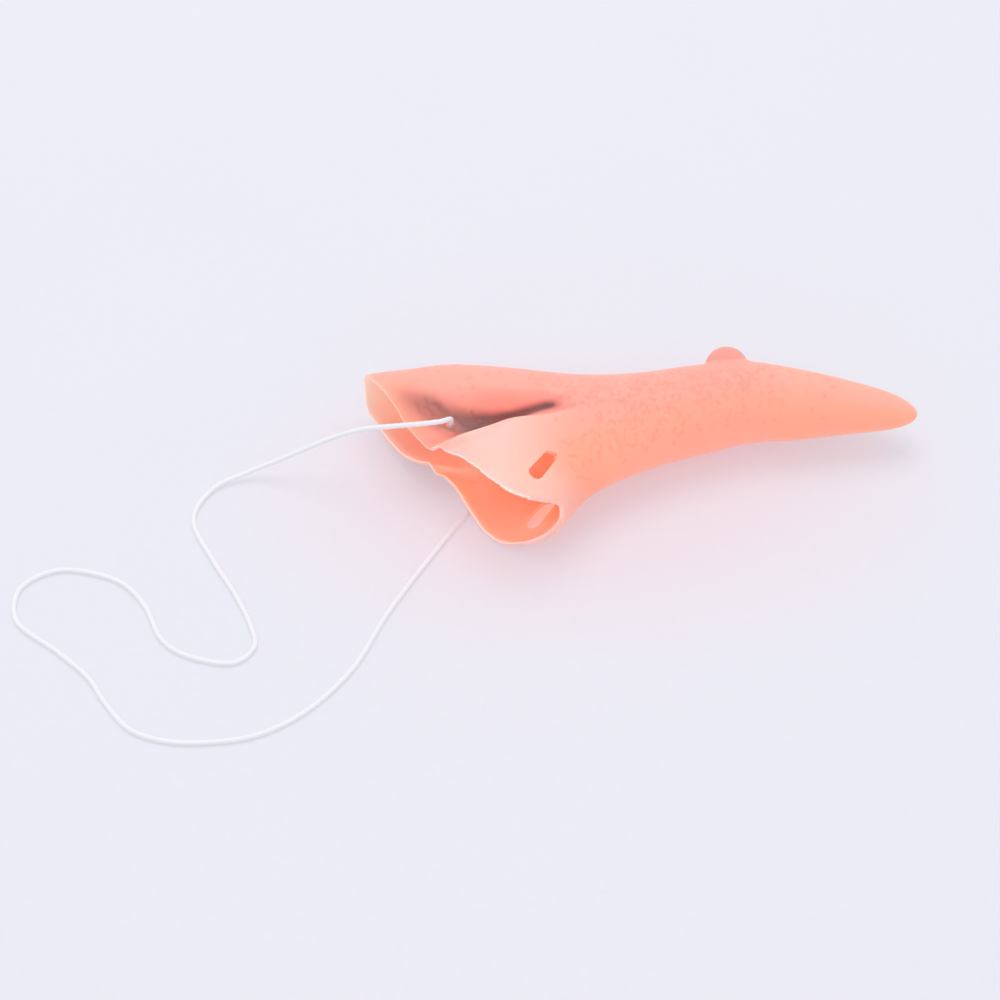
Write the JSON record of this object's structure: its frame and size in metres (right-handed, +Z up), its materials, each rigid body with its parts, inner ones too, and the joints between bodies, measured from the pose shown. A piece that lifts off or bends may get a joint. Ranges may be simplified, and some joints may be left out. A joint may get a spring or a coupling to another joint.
{
  "type": "false nose",
  "caption": "Long bent hollow witch nose with a wart, creased wings, nostril slots and an open back, lying on its side with a thin elastic head cord.",
  "frame": {"origin": "on the floor under the middle of the nose's bounding box, without the cord", "axes": "+X from the open back to the tip, +Y to the top line of the nose, +Z up"},
  "size_m": [0.2417, 0.1155, 0.0289],
  "materials": {
    "soft_vinyl": "satin skin-coloured vinyl with dark sprayed creases",
    "elastic": "white covered elastic"
  },
  "bodies": {
    "root": {"nose_shell": "soft_vinyl", "elastic_cord": "elastic", "upper_knot": "elastic", "lower_knot": "elastic"}
  },
  "joints": []
}
